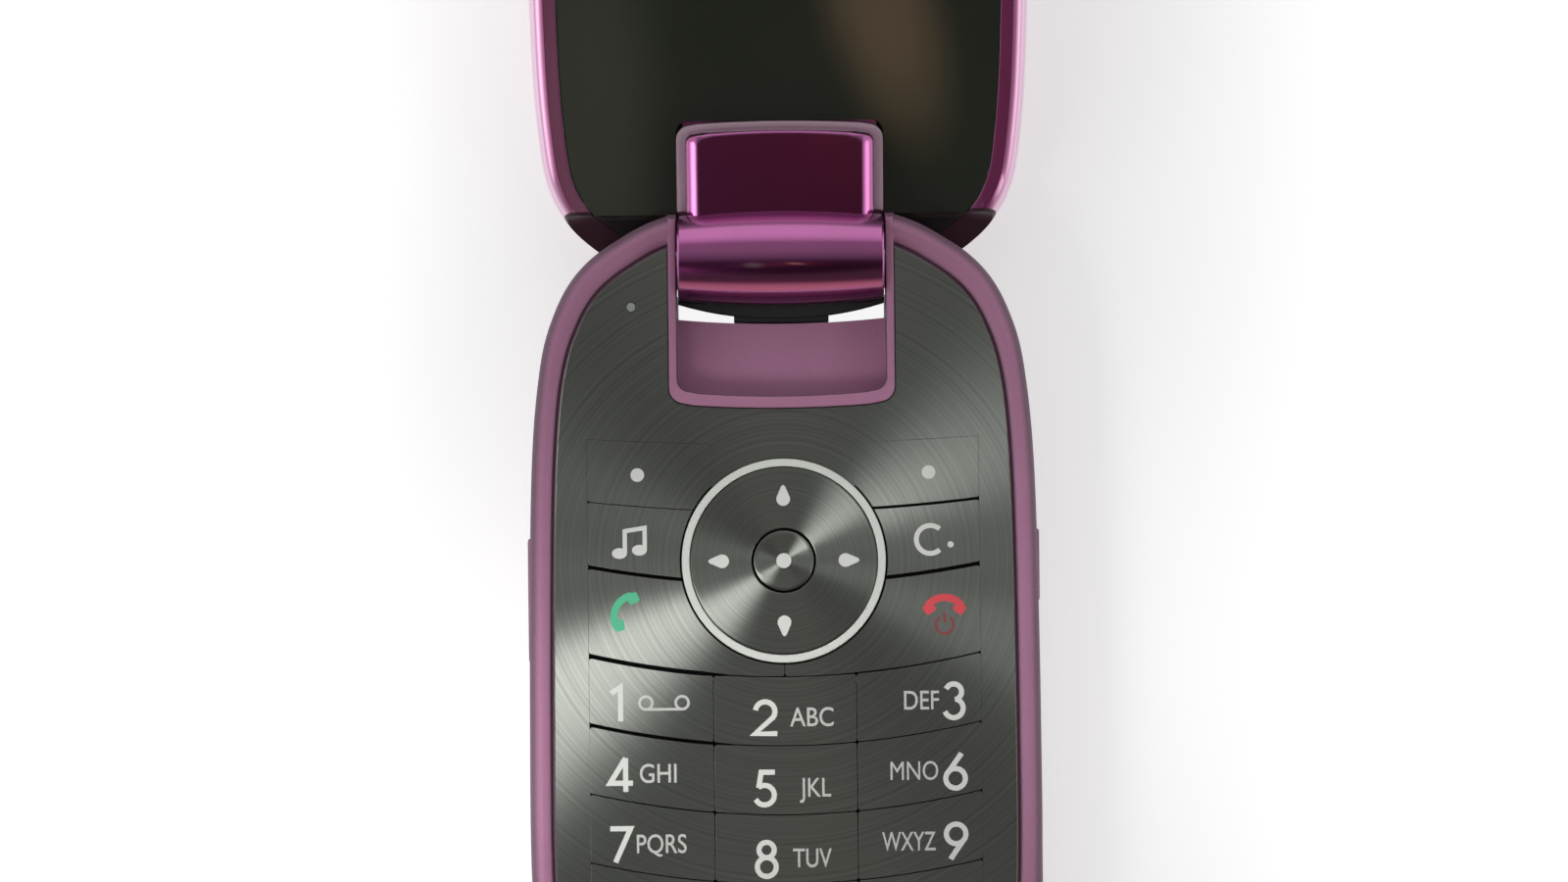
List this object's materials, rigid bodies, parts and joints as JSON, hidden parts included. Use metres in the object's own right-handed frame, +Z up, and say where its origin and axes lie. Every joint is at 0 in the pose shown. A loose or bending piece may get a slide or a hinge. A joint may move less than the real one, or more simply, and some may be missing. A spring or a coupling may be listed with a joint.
{
  "type": "flip phone",
  "caption": "Clamshell mobile phone with a rounded keypad half and a display half joined by a central hinge barrel, shown open.",
  "frame": {"origin": "centre of the keypad half's flat back", "axes": "+X to the right of the keypad, +Y from the keypad towards the display, +Z up out of the keypad"},
  "size_m": [0.0496, 0.1695, 0.0235],
  "materials": {
    "satin_mauve": "satin mauve paint on moulded polycarbonate",
    "gloss_magenta": "glossy magenta lacquer",
    "barrel_magenta": "glossy magenta metallic lacquer",
    "spun_metal": "dark anodised, spun concentric grain",
    "black_plastic": "fine moulded black",
    "black_glass": "polished, nearly black",
    "light_guide": "milky translucent",
    "rubber": "dark silicone",
    "steel": "bright metal",
    "board": "green solder mask",
    "flex": "amber film",
    "gold": "plated",
    "screen": "switched-off screen",
    "carrier": "moulded"
  },
  "bodies": {
    "base": {"base_rear_housing": "gloss_magenta", "base_front_frame": "satin_mauve", "battery_pack": "black_plastic", "battery_contacts": "gold", "sim_holder": "steel", "main_board": "board", "shield_cans": "steel", "antenna": "flex", "loudspeaker": "black_plastic", "vibration_motor": "steel", "microphone": "steel", "charging_socket": "steel", "dome_sheet": "flex", "rubber_keymat": "rubber", "keypad_panel": "spun_metal", "nav_light_ring": "light_guide", "status_light": "light_guide", "hinge_bridge": "black_plastic", "hinge_pin": "steel", "hinge_cam": "steel", "base_screws": "steel"},
    "lid": {"hinge_barrel": "barrel_magenta", "hinge_cartridge": "steel", "lid_outer_cover": "gloss_magenta", "lid_inner_frame": "black_plastic", "display_window": "black_glass", "main_display": "screen", "lid_board": "board", "earpiece": "black_plastic", "outer_window": "black_glass", "outer_display": "screen", "camera_module": "black_plastic", "lid_bumpers": "rubber", "lid_flex": "flex", "lid_screws": "steel"},
    "battery_cover": {"battery_cover": "gloss_magenta"},
    "port_cover": {"port_cover": "gloss_magenta"},
    "nav_carrier": {"nav_carrier": "carrier"},
    "nav_pad": {"nav_pad": "spun_metal"},
    "ok_key": {"ok_key": "spun_metal"},
    "volume_rocker": {"volume_rocker": "gloss_magenta"},
    "camera_key": {"camera_key": "gloss_magenta"},
    "soft_key_left": {"soft_key_left": "spun_metal"},
    "soft_key_right": {"soft_key_right": "spun_metal"},
    "music_key": {"music_key": "spun_metal"},
    "clear_key": {"clear_key": "spun_metal"},
    "call_key": {"call_key": "spun_metal"},
    "end_key": {"end_key": "spun_metal"},
    "key_1": {"key_1": "spun_metal"},
    "key_2": {"key_2": "spun_metal"},
    "key_3": {"key_3": "spun_metal"},
    "key_4": {"key_4": "spun_metal"},
    "key_5": {"key_5": "spun_metal"},
    "key_6": {"key_6": "spun_metal"},
    "key_7": {"key_7": "spun_metal"},
    "key_8": {"key_8": "spun_metal"},
    "key_9": {"key_9": "spun_metal"},
    "key_star": {"key_star": "spun_metal"},
    "key_0": {"key_0": "spun_metal"},
    "key_hash": {"key_hash": "spun_metal"}
  },
  "joints": [
    {"name": "lid_hinge", "type": "hinge", "parent": "base", "child": "lid", "pos_m": [0, 0.042, 0.0085], "axis": [1, 0, 0], "range_deg": [0, 168]},
    {"name": "soft_key_left_press", "type": "slide", "parent": "base", "child": "soft_key_left", "axis": [0, 0, -1], "range_m": [0, 0.00035], "stiffness_N_per_m": 300, "deforming": ["rubber_keymat"]},
    {"name": "soft_key_right_press", "type": "slide", "parent": "base", "child": "soft_key_right", "axis": [0, 0, -1], "range_m": [0, 0.00035], "stiffness_N_per_m": 300, "deforming": ["rubber_keymat"]},
    {"name": "music_key_press", "type": "slide", "parent": "base", "child": "music_key", "axis": [0, 0, -1], "range_m": [0, 0.00035], "stiffness_N_per_m": 300, "deforming": ["rubber_keymat"]},
    {"name": "clear_key_press", "type": "slide", "parent": "base", "child": "clear_key", "axis": [0, 0, -1], "range_m": [0, 0.00035], "stiffness_N_per_m": 300, "deforming": ["rubber_keymat"]},
    {"name": "call_key_press", "type": "slide", "parent": "base", "child": "call_key", "axis": [0, 0, -1], "range_m": [0, 0.00035], "stiffness_N_per_m": 300, "deforming": ["rubber_keymat"]},
    {"name": "end_key_press", "type": "slide", "parent": "base", "child": "end_key", "axis": [0, 0, -1], "range_m": [0, 0.00035], "stiffness_N_per_m": 300, "deforming": ["rubber_keymat"]},
    {"name": "key_1_press", "type": "slide", "parent": "base", "child": "key_1", "axis": [0, 0, -1], "range_m": [0, 0.00035], "stiffness_N_per_m": 300, "deforming": ["rubber_keymat"]},
    {"name": "key_2_press", "type": "slide", "parent": "base", "child": "key_2", "axis": [0, 0, -1], "range_m": [0, 0.00035], "stiffness_N_per_m": 300, "deforming": ["rubber_keymat"]},
    {"name": "key_3_press", "type": "slide", "parent": "base", "child": "key_3", "axis": [0, 0, -1], "range_m": [0, 0.00035], "stiffness_N_per_m": 300, "deforming": ["rubber_keymat"]},
    {"name": "key_4_press", "type": "slide", "parent": "base", "child": "key_4", "axis": [0, 0, -1], "range_m": [0, 0.00035], "stiffness_N_per_m": 300, "deforming": ["rubber_keymat"]},
    {"name": "key_5_press", "type": "slide", "parent": "base", "child": "key_5", "axis": [0, 0, -1], "range_m": [0, 0.00035], "stiffness_N_per_m": 300, "deforming": ["rubber_keymat"]},
    {"name": "key_6_press", "type": "slide", "parent": "base", "child": "key_6", "axis": [0, 0, -1], "range_m": [0, 0.00035], "stiffness_N_per_m": 300, "deforming": ["rubber_keymat"]},
    {"name": "key_7_press", "type": "slide", "parent": "base", "child": "key_7", "axis": [0, 0, -1], "range_m": [0, 0.00035], "stiffness_N_per_m": 300, "deforming": ["rubber_keymat"]},
    {"name": "key_8_press", "type": "slide", "parent": "base", "child": "key_8", "axis": [0, 0, -1], "range_m": [0, 0.00035], "stiffness_N_per_m": 300, "deforming": ["rubber_keymat"]},
    {"name": "key_9_press", "type": "slide", "parent": "base", "child": "key_9", "axis": [0, 0, -1], "range_m": [0, 0.00035], "stiffness_N_per_m": 300, "deforming": ["rubber_keymat"]},
    {"name": "key_star_press", "type": "slide", "parent": "base", "child": "key_star", "axis": [0, 0, -1], "range_m": [0, 0.00035], "stiffness_N_per_m": 300, "deforming": ["rubber_keymat"]},
    {"name": "key_0_press", "type": "slide", "parent": "base", "child": "key_0", "axis": [0, 0, -1], "range_m": [0, 0.00035], "stiffness_N_per_m": 300, "deforming": ["rubber_keymat"]},
    {"name": "key_hash_press", "type": "slide", "parent": "base", "child": "key_hash", "axis": [0, 0, -1], "range_m": [0, 0.00035], "stiffness_N_per_m": 300, "deforming": ["rubber_keymat"]},
    {"name": "ok_key_press", "type": "slide", "parent": "base", "child": "ok_key", "axis": [0, 0, -1], "range_m": [0, 0.00035], "stiffness_N_per_m": 300, "deforming": ["rubber_keymat"]},
    {"name": "nav_tilt_up_down", "type": "hinge", "parent": "base", "child": "nav_carrier", "pos_m": [0, 0.0127, 0.00905], "axis": [1, 0, 0], "range_deg": [-2, 2], "stiffness_Nm_per_rad": 0.3, "deforming": ["rubber_keymat"]},
    {"name": "nav_tilt_left_right", "type": "hinge", "parent": "nav_carrier", "child": "nav_pad", "pos_m": [0, 0.0127, 0.0096], "axis": [0, 1, 0], "range_deg": [-2, 2], "stiffness_Nm_per_rad": 0.3},
    {"name": "volume_rock", "type": "hinge", "parent": "base", "child": "volume_rocker", "pos_m": [-0.02387, 0.009, 0.0067], "axis": [0, 0, 1], "range_deg": [-3, 3], "stiffness_Nm_per_rad": 0.3},
    {"name": "camera_key_press", "type": "slide", "parent": "base", "child": "camera_key", "axis": [-1, 0, 0], "range_m": [0, 0.0003], "stiffness_N_per_m": 400},
    {"name": "battery_cover_slide", "type": "slide", "parent": "base", "child": "battery_cover", "axis": [0, -1, 0], "range_m": [0, 0.052]},
    {"name": "port_cover_hinge", "type": "hinge", "parent": "base", "child": "port_cover", "pos_m": [0.02433, -0.014, 0.00555], "axis": [0, 1, 0], "range_deg": [0, 95]}
  ]
}
